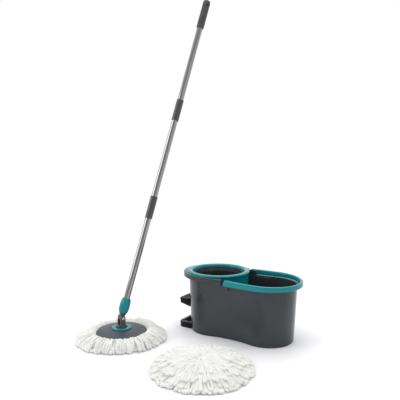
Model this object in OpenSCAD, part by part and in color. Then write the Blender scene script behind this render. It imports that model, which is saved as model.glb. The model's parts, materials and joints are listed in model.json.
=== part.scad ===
// Spin mop set: pedal-driven spin bucket, jointed mop and a loose refill head.
// Units mm, +Z up. Origin on the floor, on the spin basket's axis. +X points to the wash well.

/* [Bucket] */
// Height of the wash well rim
rim_z = 184.5; // [160:0.5:210]
// Radius of the spinner end at the floor
lobe_r = 90; // [80:0.5:105]
// Radius of the well end at the floor
well_r = 91.5; // [80:0.5:110]
// Distance between the two rounded ends
well_x = 184; // [160:1:210]
// Half width of the waist at the floor
waist_w = 80; // [70:0.5:90]
// Wall thickness of the tub
wall = 2.6; // [2:0.1:4]
// Height of the platform over the drive box
deck_z = 100; // [95:1:110]

/* [Collar and basket] */
// Outer radius of the collar ring
collar_r = 110; // [105:0.5:115]
// Radius of the collar's mouth
mouth_r = 91.5; // [88:0.5:96]
// Top of the collar ring
collar_z = 214; // [210:1:225]
// Basket radius at its top edge
basket_r = 88.5; // [80:0.5:90]
// Basket radius at its floor
basket_r0 = 75; // [65:0.5:80]
// Number of slots round the basket
slots = 72; // [30:1:90]

/* [Pedal and drive] */
// Pedal travel in degrees
pedal_travel = 16; // [10:1:16]
// Half width of the pedal pad
pad_w = 38; // [30:1:45]
// Teeth of the small wheel pinion
pin_t = 18; // [16:1:20]
// Teeth of the full circle of which the sector is a part
sec_t = 112; // [100:1:112]

/* [Carry handle] */
// Width of the handle band at its pivots
band_h = 19.5; // [16:0.5:25]
// Thickness of the handle band
band_t = 11; // [8:0.5:12]
// Handle pivot position along the bucket
piv_x = 82; // [80:1:90]

/* [Mop] */
// Radius of the mop plate
plate_r = 84; // [75:0.5:90]
// Radius of the tube sections
tube_r = 10.5; // [9:0.25:12.5]
// Length from the tilt pin to the end of the grip
pole_len = 1168; // [1000:1:1300]
// Lean of the pole from upright
lean = 17.37; // [0:0.01:45]
// Radius of the mop's strand spread
strand_r = 155; // [130:1:165]

/* [Refill] */
// Radius of the loose refill head
spare_r = 152.5; // [130:0.5:165]

/* [Hidden] */
$fn = 96;
lx = -8;
az = 65.2;
mx = -224.6; my = -264.5; mz = 74;
sx = 121.1; sy = -317.7;
teal = [0.0, 0.46, 0.48];
slate = [0.20, 0.22, 0.235];
black = [0.06, 0.06, 0.065];
grey = [0.26, 0.27, 0.28];
steel = [0.7, 0.7, 0.72];
pom = [0.82, 0.82, 0.78];
white = [0.9, 0.9, 0.87];
px = 60; pz = 20;      // pedal pivot
wz = 45;               // wheel axle height

function wt(z) = waist_w + 17 * z / 190;
function rl(z) = lobe_r + 8 * z / 190;
function rr(z) = well_r + 11 * z / 190;
function an(z) = 75 + 15 * z / 190;
function zt(x) = 207 - 0.025 * x; // top of the spinner end's rim
function herm(t, a, sa, b, L) = a*(2*t*t*t - 3*t*t + 1) + sa*L*(t*t*t - 2*t*t + t) + b*(3*t*t - 2*t*t*t);
// outline of the tub, moved out by o, at height z
function half(o, z) = let (ra = rl(z) + o, rb = rr(z) + o, t = an(z), xa = lx + ra*cos(t), xb = well_x - rb*cos(t), xm = (xa + xb)/2, w = wt(z) + o, sl = -cos(t)/sin(t))
  concat([for (i = [0:14]) let (a = 180 - (180 - t)*i/15) [lx + ra*cos(a), ra*sin(a)]],
    [for (i = [0:9]) [xa + (xm - xa)*i/9, herm(i/9, ra*sin(t), sl, w, xm - xa)]],
    [for (i = [8:-1:0]) [xb - (xb - xm)*i/9, herm(i/9, rb*sin(t), sl, w, xb - xm)]],
    [for (i = [14:-1:1]) let (a = (180 - t)*i/15) [well_x + rb*cos(a), rb*sin(a)]], [[well_x + rb, 0]]);
function outline(o, z) = let (h = half(o, z), m = len(h)) concat(h, [for (i = [m - 2:-1:1]) [h[i][0], -h[i][1]]]);
module tub(o, z0, z1) {
  a = outline(o, z0); b = outline(o, z1); m = len(a);
  polyhedron(points = concat([for (p = a) [p[0], p[1], z0]], [for (p = b) [p[0], p[1], z1]]),
    faces = concat([[for (i = [m - 1:-1:0]) i]], [[for (i = [0:m - 1]) m + i]],
      [for (i = [0:m - 1]) let (j = (i + 1) % m) [i, j, m + i]], [for (i = [0:m - 1]) let (j = (i + 1) % m) [j, m + j, m + i]]), convexity = 6);
}
module box(a, b) { translate(a) cube([b[0] - a[0], b[1] - a[1], b[2] - a[2]]); }
module xz(y0, y1) { translate([0, y1, 0]) rotate([90, 0, 0]) linear_extrude(height = y1 - y0) children(); }
module yrod(x, z, r, y0, y1) { translate([x, y0, z]) rotate([-90, 0, 0]) cylinder(r = r, h = y1 - y0, $fn = 48); }

// ---------- gears ----------
function inv(rb, t) = [rb*(cos(t) + t*PI/180*sin(t)), rb*(sin(t) - t*PI/180*cos(t))];
function rot2(p, a) = [p[0]*cos(a) - p[1]*sin(a), p[0]*sin(a) + p[1]*cos(a)];
// one tooth outline centred on angle 0, root to root
function tooth(m, t, bl) = let (rp = m*t/2, rb = rp*cos(20), ra = rp + 0.95*m, rf = rp - 1.2*m,
    ta = sqrt(ra*ra/(rb*rb) - 1)*180/PI, tp = tan(20)*180/PI, ps = inv(rb, tp),
    off = atan2(ps[1], ps[0]) + 90/t - bl/rp*90/PI,
    t0 = rf > rb ? sqrt(rf*rf/(rb*rb) - 1)*180/PI : 0)
  concat([[rf*cos(off + 0.0), -rf*sin(off)]],
    [for (i = [0:5]) let (q = inv(rb, t0 + (ta - t0)*i/5)) rot2([q[0], q[1]], -off)],
    [for (i = [5:-1:0]) let (q = inv(rb, t0 + (ta - t0)*i/5)) rot2([q[0], -q[1]], off)],
    [[rf*cos(off), rf*sin(off)]]);
module gear2d(m, t, a0, bl = 0.12) {
  polygon([for (k = [0:t - 1]) for (p = tooth(m, t, bl)) rot2(p, a0 + k*360/t)]);
}

// ---------- bucket ----------
module rim2d(o) hull() { translate([lx, 0]) circle(r = 117.5 - o); translate([60, o - 111.6]) square([11, 223.2 - 2*o]); }
module slab(d0, d1) xz(-130, 130) polygon([[-140, zt(-140) - d1], [71, zt(71) - d1], [71, zt(71) - d0], [-140, zt(-140) - d0]]);
module bucket_shell() color(slate) difference() {
  union() {
    difference() {
      union() {
        intersection() { tub(0, -2, 214); union() { box([-130, -130, 0], [320, 130, rim_z + 3]); slab(0, 60);
          // the wall stands up behind each end of the handle
          xz(-130, 130) polygon([[70, 180], [107, 180], [106, 190], [104, 197], [100, 201.6], [95, 203.4], [70, 203.8]]); } }
        // turned-down rim of the spinner end
        difference() {
          intersection() { translate([0, 0, 185]) linear_extrude(height = 28) rim2d(0); slab(0, 15); }
          intersection() { translate([0, 0, 184]) linear_extrude(height = 29) rim2d(2.6); slab(2.2, 18); }
        }
        // outward flange of the well
        intersection() {
          translate([0, 0, rim_z - 3]) linear_extrude(height = 3) polygon(outline(9.5, rim_z));
          box([100, -130, 170], [320, 130, 200]);
        }
      }
      intersection() {
        tub(-wall, -2, 214);
        union() {
          box([-130, -130, -3], [78, 130, deck_z - 3]);
          box([-130, -130, deck_z], [320, 130, 213.5]);
          box([81, -130, 3], [320, 130, deck_z + 5]);
        }
      }
    }
    translate([0, 0, deck_z - 3]) cylinder(r = 13, h = 29);
    for (x = [-55, 40], y = [-62, 62]) translate([x, y, 3.3]) cylinder(r = 5, h = deck_z - 4, $fn = 32);
    // handle lugs
    for (s = [-1, 1]) scale([1, s, 1]) { yrod(piv_x, 194.5, 8.5, 94.4, 99.2); box([piv_x - 8.5, 94.4, 168], [piv_x + 8.5, 99.2, 194.5]); }
  }
  translate([0, 0, deck_z - 4]) cylinder(r = 9.05, h = 40);
  for (x = [-55, 40], y = [-62, 62]) translate([x, y, 3]) cylinder(r = 1.4, h = 16, $fn = 24);
  for (s = [-1, 1]) {
    box([-110, s*30 - 4.6, 20], [-80, s*30 + 4.6, 88.5]);
    box([-95, s*50 - 6.2, 2.9], [-65, s*50 + 6.2, 10.2]);
    scale([1, s, 1]) yrod(piv_x, 194.5, 4.5, 85, 105);
  }
}
module cover2d(o) intersection() { polygon(outline(o - wall, 0)); translate([-130, -130]) square([130 + 78 + o, 260]); }
module base_cover() color(black) difference() {
  union() {
    linear_extrude(height = 3) cover2d(-0.4);
    translate([-60, 0, 0]) cylinder(r = 6, h = 9, $fn = 32);
    translate([-60, 0, 0]) cylinder(r = 12, h = 4.6, $fn = 32);
  }
  for (x = [-55, 40], y = [-62, 62]) translate([x, y, -1]) { cylinder(r = 2, h = 6, $fn = 24); cylinder(r = 3.7, h = 2.8, $fn = 24); }
  for (x = [-8, 66], y = [-34, 34]) translate([x, y, -1]) { cylinder(r = 2, h = 6, $fn = 24); cylinder(r = 3.7, h = 2.8, $fn = 24); }
  for (s = [-1, 1]) box([-99, s*50 - 6.4, 2.6], [-62, s*50 + 6.4, 4]);
}
module screw(x, y) translate([x, y, 0.4]) { difference() { cylinder(r = 3.5, h = 1.4, $fn = 24);
    translate([-2.4, -0.5, -0.1]) cube([4.8, 1, 0.8]); translate([-0.5, -2.4, -0.1]) cube([1, 4.8, 0.8]); }
  cylinder(r = 1.35, h = 9, $fn = 24); }
module cover_screws() color(steel) {
  for (x = [-55, 40], y = [-62, 62]) screw(x, y);
  for (x = [-8, 66], y = [-34, 34]) screw(x, y);
}
module spinner_collar() color(teal) union() {
  difference() {
    rotate_extrude() polygon([[mouth_r, 203], [collar_r, 203], [collar_r, 210.4], [108.8, 212.4], [105, 213.7], [100, collar_z], [96, 213.5], [93, 211.4], [mouth_r, 207.5]]);
    xz(-130, 130) polygon([[-140, 190], [140, 190], [140, zt(140) + 0.2], [-140, zt(-140) + 0.2]]);
  }
  difference() { translate([0, 0, 192]) cylinder(r = 92.9, h = 18.6); translate([0, 0, 190]) cylinder(r = mouth_r, h = 30); }
  intersection() {
    difference() { translate([0, 0, 142]) cylinder(r = 107, h = 67.6); translate([0, 0, 140]) cylinder(r = 104.4, h = 80); }
    translate([0, 0, 142]) linear_extrude(height = 66) polygon([[0, 0], [130*cos(54), -130*sin(54)], [150, 0], [130*cos(54), 130*sin(54)]]);
  }
}
module foot_bracket() color(black) {
  difference() {
    linear_extrude(height = 20) difference() {
      union() { translate([-111, -50]) square([41, 100]); translate([-102, -58]) square([30, 116]);
        for (s = [-1, 1]) translate([-102, s*49]) circle(r = 9, $fn = 48);
        translate([-137, -34]) square([38, 68]); translate([-114, -57]) square([14, 114]); for (s = [-1, 1]) translate([-114, s*34]) circle(r = 23, $fn = 64); }
      translate([lx, 0]) circle(r = lobe_r + 1.4);
      for (s = [-1, 1]) translate([-99, s*39]) circle(r = 9, $fn = 48);
      translate([-125, -39]) square([47, 78]);
    }
    translate([-129, -70, 18]) rotate([0, -4, 0]) translate([-10, 0, 0]) cube([90, 140, 30]);
  }
  for (s = [-1, 1]) box([-90, s*50 - 6, 3.1], [-66, s*50 + 6, 10]);
}

// ---------- drive box ----------
module gear_frame() color(grey) difference() {
  union() {
    box([-16, -42, 3.3], [74, 42, 6.5]);
    xz(1.5, 5) polygon([[-14, 6], [14, 6], [8, 52], [8, 61], [-8, 61], [-8, 52]]);
    box([-8, -8, 57.5], [8, 5, 61]);
    xz(23, 26) union() { polygon([[-14, 6], [14, 6], [7, 48], [-7, 48]]); translate([0, wz]) circle(r = 7, $fn = 48); }
    for (s = [-1, 1]) xz(s*38 - 3, s*38 + 3) union() { polygon([[48, 6], [72, 6], [67, 22], [53, 22]]); translate([px, pz]) circle(r = 7.5, $fn = 48); }
    for (x = [-8, 66], y = [-34, 34]) translate([x, y, 3.3]) cylinder(r = 5, h = 7, $fn = 32);
  }
  yrod(0, wz, 2.53, 0, 30);
  yrod(px, pz, 3.03, -45, 45);
  for (x = [-8, 66], y = [-34, 34]) translate([x, y, 3]) cylinder(r = 1.4, h = 6.8, $fn = 24);
}
module spindle_bush() color([0.72, 0.55, 0.25]) difference() {
  union() { translate([0, 0, 94]) cylinder(r = 9, h = 32); translate([0, 0, 94]) cylinder(r = 11.5, h = 2.7); }
  translate([0, 0, 90]) cylinder(r = 4.06, h = 40, $fn = 48);
}
module shaft_seal() color([0.1, 0.1, 0.1]) difference() {
  translate([0, 0, 126.1]) cylinder(r1 = 8.8, r2 = 6.5, h = 3.4, $fn = 48);
  translate([0, 0, 125]) cylinder(r = 4.35, h = 6, $fn = 48);
}
module pedal_axle() color(steel) yrod(px, pz, 3, -42, 42);
module wheel_axle() color(steel) yrod(0, wz, 2.5, 0.6, 26.6);
module return_spring() color(steel) translate([-60, 0, 5]) linear_extrude(height = 51.6, twist = -360*7, slices = 140, segments = 1, $fn = 4)
  polygon([for (i = [0:9]) let (a = i*36, r = 8.6 + 0.85*cos(a), th = 42*sin(a)) [r*cos(th), r*sin(th)]]);

aoff = atan2(25, -60); // direction from pedal pivot to wheel axle
module sector2d() {
  intersection() {
    translate([px, pz]) gear2d(1, sec_t, aoff + 180/sec_t, 0.14);
    translate([px, pz]) polygon([[0, 0], [70*cos(136), 70*sin(136)], [80*cos(150), 80*sin(150)], [70*cos(166), 70*sin(166)]]);
  }
}
module pedal_lever() color(black) difference() {
  union() {
    yrod(px, pz, 9, -34, 34);
    xz(14, 22) sector2d();
    for (s = [-1, 1]) xz(s*30 - 3, s*30 + 3) polygon([[57, 12], [66, 24], [62, 28], [-96, 84.5], [-104, 94.5], [-139, 94.5], [-140.5, 80], [-108, 72], [-97, 70]]);
    box([-64, -30, 57.6], [-56, 30, 64]);
    box([-112, -30, 76], [-108.6, 30, 95]);
    difference() {
      translate([0, 0, 93.5]) linear_extrude(height = 6.2) hull() {
        for (s = [-1, 1]) { translate([-136, s*(pad_w - 8)]) circle(r = 8, $fn = 32); translate([-108, s*(pad_w - 4)]) circle(r = 3.6, $fn = 32); }
      }
      for (x = [-136, -129, -122, -115]) box([x - 1.2, -31, 98.6], [x + 1.2, 31, 101]);
    }
    // turned-down front lip of the pad
    intersection() {
      box([-144.1, -pad_w + 8, 78], [-140.4, pad_w - 8, 96]);
      box([-160, -60, 76], [-140, 60, 100]);
    }
  }
  yrod(px, pz, 3.06, -40, 40);
}
// wheel with a crown face (towards -Y) and a pinion behind it
module crown_wheel() color(pom) translate([0, 0, wz]) difference() {
  union() {
    translate([0, 13, 0]) rotate([90, 0, 0]) cylinder(r = 32.6, h = 3.2);
    translate([0, 22.2, 0]) rotate([90, 0, 0]) linear_extrude(height = 9.4) rotate(aoff - 0 + 180) gear2d(1, pin_t, 0, 0.14);
    translate([0, 10, 0]) rotate([90, 0, 0]) cylinder(r = 7, h = 4.4);
    for (k = [0:39]) rotate([0, k*9 + 4.5, 0]) translate([0, 0, 28.2])
      linear_extrude(height = 3.6) polygon([[-1.35, 9.9], [-0.48, 6.3], [0.48, 6.3], [1.35, 9.9]]);
  }
  translate([0, 30, 0]) rotate([90, 0, 0]) cylinder(r = 2.56, h = 40, $fn = 48);
}
module drive_pinion() color(pom) difference() {
  union() {
    translate([0, 0, 67.5]) linear_extrude(height = 12.6) rotate(90) gear2d(1.5, 10, 0, 0.3);
    translate([0, 0, 80]) cylinder(r = 13, h = 12);
  }
  translate([0, 0, 60]) cylinder(r = 4.06, h = 40, $fn = 48);
  translate([0, 0, 81.6]) cylinder(r = 9.5, h = 12, $fn = 64);
}
module spindle() color(steel) {
  translate([0, 0, 61.2]) cylinder(r = 4, h = 85, $fn = 48);
  translate([0, 0, 82.2]) linear_extrude(height = 9) difference() { circle(r = 6.6, $fn = 48);
    for (k = [0:5]) rotate(k*60) translate([7.75, 0]) circle(r = 1.85, $fn = 24); }
}
module clutch_rollers() color(steel) for (k = [0:5]) rotate(k*60) translate([7.75, 0, 82.6]) cylinder(r = 1.65, h = 8.2, $fn = 24);

// ---------- basket ----------
module spin_basket() color([0.11, 0.12, 0.13]) difference() {
  union() {
    rotate_extrude() polygon([[basket_r0, 108], [basket_r - 0.4, 200], [basket_r, 200], [basket_r, 203.5], [basket_r - 3.2, 203.5],
      [basket_r - 3.2, 200], [basket_r0 - 2.4, 110.6], [30, 110.6], [17, 141], [9, 141], [4.03, 141], [4.03, 131.5], [8.5, 131.5],
      [8.5, 137.6], [15.2, 137.6], [27.9, 108]]);
    // raised rings on the basket floor
    for (r = [44, 58]) translate([0, 0, 110]) difference() { cylinder(r = r + 1, h = 3); translate([0, 0, -1]) cylinder(r = r - 1, h = 5); }
  }
  for (k = [0:slots - 1]) rotate(k*360/slots) box([60, -2.1, 122], [100, 2.1, 190]);
  for (k = [0:11]) rotate(k*30 + 15) translate([51, 0, 100]) cylinder(r = 3.2, h = 14, $fn = 24);
}
module basket_nut() color(grey) difference() {
  union() { translate([0, 0, 141.2]) cylinder(r = 8, h = 3, $fn = 48); translate([0, 0, 144.2]) cylinder(r1 = 7, r2 = 5, h = 4.4, $fn = 6); }
  translate([0, 0, 140]) cylinder(r = 4.04, h = 6.4, $fn = 48);
}

// ---------- carry handle ----------
function by(x) = 118.9 - 8.1*pow(max(0, (174.6 - x)/96.6), 1.6);
module band2d(o) union() {
  translate([185.3, 0]) circle(r = 119.5 - o);
  polygon(concat([for (x = [62, 78, 90, 102, 114, 126, 138, 150, 162, 174, 181]) [x, by(x) - o]], [for (x = [181, 174, 162, 150, 138, 126, 114, 102, 90, 78, 62]) [x, o - by(x)]]));
}
module carry_handle() color(teal) {
  difference() {
    translate([0, 0, rim_z + 1.5]) linear_extrude(height = band_h) difference() { band2d(0); band2d(band_t); }
    box([40, -130, 180], [75, 130, 214]);
    // rounded end and gently falling top
    xz(-130, 130) polygon([[60, 198], [75, 198], [78, 202.6], [82, 205.2], [320, 201], [320, 230], [60, 230]]);
  }
  for (s = [-1, 1]) scale([1, s, 1]) yrod(piv_x, 194.5, 4.42, 94.6, 101);
}

// ---------- mop ----------
module at_head() translate([mx, my, 0]) children();
module along() translate([mx, my, mz]) rotate([0, lean, az]) children();
module knuckle_base() color(grey) at_head() difference() {
  union() {
    translate([0, 0, 46.6]) cylinder(r1 = 17.5, r2 = 15.5, h = 5);
    translate([0, 0, 33]) cylinder(r = 5.9, h = 15, $fn = 48);
    rotate(az) for (s = [-1, 1]) {
      box([-8.5, s*11 - 2.8, 50], [8.5, s*11 + 2.8, mz]);
      translate([0, 0, mz - 0]) yrod(0, 0, 8.5, s*11 - 2.8, s*11 + 2.8);
    }
  }
  rotate(az) translate([0, 0, mz]) yrod(0, 0, 3.03, -20, 20);
}
module swivel_clip() color(steel) at_head() difference() {
  translate([0, 0, 31]) cylinder(r = 9, h = 3, $fn = 48);
  translate([0, 0, 30]) cylinder(r = 5.2, h = 3.2, $fn = 48);
  translate([0, 0, 33]) cylinder(r = 5.94, h = 3, $fn = 48);
}
module knuckle_pin() color(steel) at_head() rotate(az) translate([0, 0, mz]) { yrod(0, 0, 3, -15, 15); for (s = [-1, 1]) yrod(0, 0, 4.6, s*14.6 - 0.6, s*14.6 + 0.6); }
module mop_plate() color(grey) at_head() difference() {
  union() {
    rotate_extrude() polygon([[0, 34.4], [30, 34.4], [60, 31.6], [79, 28], [82, 26], [plate_r, 26], [plate_r, 30.5], [82, 32.5], [62, 36.4], [30, 39.6], [0, 40]]);
    translate([0, 0, 38]) cylinder(r = 18.5, h = 8.3);
    translate([0, 0, 20]) difference() { cylinder(r = 58, h = 13); translate([0, 0, -1]) cylinder(r = 55, h = 15); }
  }
  translate([0, 0, 30]) cylinder(r = 5.98, h = 20, $fn = 48);
  for (k = [0:5]) rotate(k*60 + 30) translate([68, 0, 20]) cylinder(r = 4, h = 20, $fn = 24);
}
module plate_ring() color(teal) at_head() difference() {
  union() { translate([0, 0, 40.05]) cylinder(r = 32.4, h = 2); translate([0, 0, 42.05]) cylinder(r1 = 32.4, r2 = 30.8, h = 1.6); }
  translate([0, 0, 30]) cylinder(r = 19, h = 20);
}
module refill_ring() color(white) at_head() difference() {
  translate([0, 0, 13]) cylinder(r = 75, h = 12);
  translate([0, 0, 12]) cylinder(r = 58.3, h = 20);
}
module mop_strands() color(white) at_head() rotate_extrude() polygon([[40, 0], [151, 0], [strand_r, 3], [strand_r - 3, 10], [136, 21], [116, 31], [100, 36.5], [90, 37], [86.6, 33], [86.2, 24], [77, 11.6], [40, 11.6]]);
module knuckle_socket() color(grey) along() difference() {
  union() {
    yrod(0, 0, 8, -7.9, 7.9);
    translate([-7, -7.9, 0]) cube([14, 15.8, 13]);
    translate([0, 0, 12]) cylinder(r = 12, h = 52);
  }
  yrod(0, 0, 3.05, -20, 20);
  translate([0, 0, 22]) cylinder(r = tube_r + 0.05, h = 60);
}
module lock_collar() color(teal) along() rotate_extrude() polygon([[12.4, 17.6], [14.6, 17.6], [16.4, 24], [17.4, 34], [17.4, 46], [16.2, 57], [14.2, 65], [12.4, 65]]);
module tube(a, b, r) difference() { translate([0, 0, a]) cylinder(r = r, h = b - a, $fn = 64); translate([0, 0, a - 1]) cylinder(r = r - 0.8, h = b - a + 2, $fn = 64); }
module lower_tube() color(steel) along() tube(22.2, 382, tube_r);
module middle_tube() color(steel) along() tube(382.6, 739.6, tube_r);
module upper_tube() color(steel) along() tube(740.2, 1130, tube_r);
module sleeve(a, b) difference() {
  union() { translate([0, 0, a + 2]) cylinder(r = 12.7, h = b - a - 4, $fn = 64); translate([0, 0, a]) cylinder(r1 = 11.7, r2 = 12.7, h = 2, $fn = 64); translate([0, 0, b - 2]) cylinder(r1 = 12.7, r2 = 11.7, h = 2, $fn = 64); }
  translate([0, 0, a - 1]) cylinder(r = tube_r + 0.05, h = b - a + 2, $fn = 64);
}
module lower_collar() color(grey) along() sleeve(343, 422);
module upper_collar() color(grey) along() sleeve(700.5, 779.5);
module plug(a, b) difference() { translate([0, 0, a]) cylinder(r = tube_r - 0.85, h = b - a, $fn = 48); translate([0, 0, a - 1]) cylinder(r = 6.5, h = b - a + 2, $fn = 48); }
module lower_joiner() color(black) along() plug(347, 418);
module upper_joiner() color(black) along() plug(704, 776);
module grip() color([0.17, 0.17, 0.17]) along() difference() {
  union() {
    translate([0, 0, 1058]) cylinder(r1 = 12, r2 = 13.5, h = 3);
    translate([0, 0, 1061]) cylinder(r = 13.5, h = pole_len - 1061 - 7);
    translate([0, 0, pole_len - 7]) cylinder(r1 = 13.5, r2 = 9, h = 7);
  }
  translate([0, 0, 1050]) cylinder(r = tube_r + 0.05, h = 80.5, $fn = 64);
  for (z = [1070:9:1115]) translate([0, 0, z]) difference() { cylinder(r = 15, h = 2.4); translate([0, 0, -1]) cylinder(r = 12.8, h = 5); }
  translate([0, 0, 1148]) yrod(0, 0, 4, -20, 20);
}

// ---------- loose refill ----------
module spare_ring() color(white) translate([sx, sy, 0]) difference() {
  cylinder(r = 75, h = 12);
  translate([0, 0, -1]) cylinder(r = 58.3, h = 20);
}
module spare_strands() color(white) translate([sx, sy, 0]) rotate_extrude() polygon([[0, 13], [76.4, 13], [78, 0], [spare_r - 4, 0], [spare_r, 4], [spare_r - 3, 14], [134, 24], [104, 32], [60, 37], [0, 39]]);

bucket_shell();
base_cover();
cover_screws();
spinner_collar();
foot_bracket();
gear_frame();
spindle_bush();
shaft_seal();
pedal_axle();
wheel_axle();
return_spring();
pedal_lever();
crown_wheel();
drive_pinion();
spindle();
clutch_rollers();
spin_basket();
basket_nut();
carry_handle();
knuckle_base();
swivel_clip();
knuckle_pin();
mop_plate();
plate_ring();
refill_ring();
mop_strands();
knuckle_socket();
lower_tube();
lower_collar();
lower_joiner();
middle_tube();
upper_collar();
upper_joiner();
upper_tube();
grip();
lock_collar();
spare_ring();
spare_strands();
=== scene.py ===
import json
import math
import random

import bmesh
import bpy
import numpy as np
from mathutils import Matrix, Vector

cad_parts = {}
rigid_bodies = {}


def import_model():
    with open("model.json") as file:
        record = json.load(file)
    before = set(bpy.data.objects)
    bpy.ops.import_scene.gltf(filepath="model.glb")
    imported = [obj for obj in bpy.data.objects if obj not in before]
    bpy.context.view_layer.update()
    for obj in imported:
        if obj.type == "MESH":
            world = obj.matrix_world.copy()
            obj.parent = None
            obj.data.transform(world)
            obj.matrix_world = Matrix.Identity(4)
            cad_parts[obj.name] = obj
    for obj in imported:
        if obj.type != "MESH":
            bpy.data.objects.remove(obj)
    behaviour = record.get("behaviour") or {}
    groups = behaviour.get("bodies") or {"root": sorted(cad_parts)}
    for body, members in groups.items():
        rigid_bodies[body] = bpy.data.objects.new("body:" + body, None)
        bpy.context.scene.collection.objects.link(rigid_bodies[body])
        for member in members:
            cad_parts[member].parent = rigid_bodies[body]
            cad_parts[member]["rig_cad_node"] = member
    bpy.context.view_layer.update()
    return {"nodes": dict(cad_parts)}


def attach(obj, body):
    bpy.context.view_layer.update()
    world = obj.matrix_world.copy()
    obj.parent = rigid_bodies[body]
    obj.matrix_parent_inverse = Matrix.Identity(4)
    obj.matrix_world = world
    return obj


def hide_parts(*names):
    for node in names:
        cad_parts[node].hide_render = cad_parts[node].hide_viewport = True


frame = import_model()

NODES = frame["nodes"]
SC = bpy.context.scene

# ------------------------------------------------------------------ camera
cam_data = bpy.data.cameras.new("cam")
cam = bpy.data.objects.new("cam", cam_data)
SC.collection.objects.link(cam)
cam_data.sensor_width = 36.0
cam_data.lens = 38.37
cam.location = (0.7287, -1.3295, 0.5407)
fwd = Vector((-0.51797, 0.85384, -0.05168)).normalized()
cam.rotation_mode = "QUATERNION"
cam.rotation_quaternion = fwd.to_track_quat("-Z", "Y")
cam_data.clip_start, cam_data.clip_end = 0.02, 60
SC.camera = cam

# ------------------------------------------------------------------ materials
def new_mat(name):
    m = bpy.data.materials.new("v_" + name)
    m.use_nodes = True
    nt = m.node_tree
    b = nt.nodes["Principled BSDF"]
    return m, nt, b


def node(nt, kind, **kw):
    n = nt.nodes.new(kind)
    for k, v in kw.items():
        if k in n.inputs:
            n.inputs[k].default_value = v
        else:
            setattr(n, k, v)
    return n


def plastic(name, col, rough=0.3, coat=0.0, var=0.06, grain=900, bump=0.04, scuff=0.12, metal=0.0, dust=0.0, spec=0.5,
            stretch=None, bump_dist=0.0004, coat_rough=0.08):
    """Moulded plastic: slight colour drift, fine moulded grain, scuffed gloss and a little dust on upward faces."""
    m, nt, b = new_mat(name)
    L = nt.links.new
    tc = node(nt, "ShaderNodeTexCoord")
    vec = tc.outputs["Object"]
    if stretch:
        mp = node(nt, "ShaderNodeMapping")
        mp.inputs["Scale"].default_value = stretch
        L(vec, mp.inputs["Vector"])
        vec = mp.outputs["Vector"]
    n1 = node(nt, "ShaderNodeTexNoise", Scale=9.0, Detail=4.0, Roughness=0.6)
    L(vec, n1.inputs["Vector"])
    ramp = node(nt, "ShaderNodeValToRGB")
    lo = [max(0, c * (1 - var)) for c in col]
    hi = [min(1, c * (1 + var)) for c in col]
    ramp.color_ramp.elements[0].position, ramp.color_ramp.elements[1].position = 0.3, 0.7
    ramp.color_ramp.elements[0].color = (*lo, 1)
    ramp.color_ramp.elements[1].color = (*hi, 1)
    L(n1.outputs["Fac"], ramp.inputs["Fac"])
    colour = ramp.outputs["Color"]
    if dust:
        geo = node(nt, "ShaderNodeNewGeometry")
        sep = node(nt, "ShaderNodeSeparateXYZ")
        L(geo.outputs["Normal"], sep.inputs["Vector"])
        n3 = node(nt, "ShaderNodeTexNoise", Scale=60.0, Detail=6.0, Roughness=0.7)
        L(vec, n3.inputs["Vector"])
        mr = node(nt, "ShaderNodeMapRange")
        mr.inputs["From Min"].default_value, mr.inputs["From Max"].default_value = 0.55, 1.0
        L(sep.outputs["Z"], mr.inputs["Value"])
        mu = node(nt, "ShaderNodeMath", operation="MULTIPLY")
        L(mr.outputs["Result"], mu.inputs[0])
        L(n3.outputs["Fac"], mu.inputs[1])
        mu2 = node(nt, "ShaderNodeMath", operation="MULTIPLY")
        L(mu.outputs[0], mu2.inputs[0])
        mu2.inputs[1].default_value = dust
        mx = node(nt, "ShaderNodeMix", data_type="RGBA")
        L(mu2.outputs[0], mx.inputs["Factor"])
        L(colour, mx.inputs["A"])
        mx.inputs["B"].default_value = (0.45, 0.45, 0.44, 1)
        colour = mx.outputs["Result"]
    L(colour, b.inputs["Base Color"])
    n2 = node(nt, "ShaderNodeTexNoise", Scale=26.0, Detail=5.0, Roughness=0.65)
    L(vec, n2.inputs["Vector"])
    r = node(nt, "ShaderNodeMapRange")
    r.inputs["From Min"].default_value, r.inputs["From Max"].default_value = 0.3, 0.75
    r.inputs["To Min"].default_value, r.inputs["To Max"].default_value = max(0.02, rough - scuff * 0.4), rough + scuff
    L(n2.outputs["Fac"], r.inputs["Value"])
    L(r.outputs["Result"], b.inputs["Roughness"])
    b.inputs["Metallic"].default_value = metal
    b.inputs["Specular IOR Level"].default_value = spec
    b.inputs["Coat Weight"].default_value = coat
    b.inputs["Coat Roughness"].default_value = coat_rough
    g = node(nt, "ShaderNodeTexNoise", Scale=float(grain), Detail=2.0, Roughness=0.5)
    L(tc.outputs["Object"], g.inputs["Vector"])
    bp = node(nt, "ShaderNodeBump", Strength=bump, Distance=bump_dist)
    L(g.outputs["Fac"], bp.inputs["Height"])
    L(bp.outputs["Normal"], b.inputs["Normal"])
    return m


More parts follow.
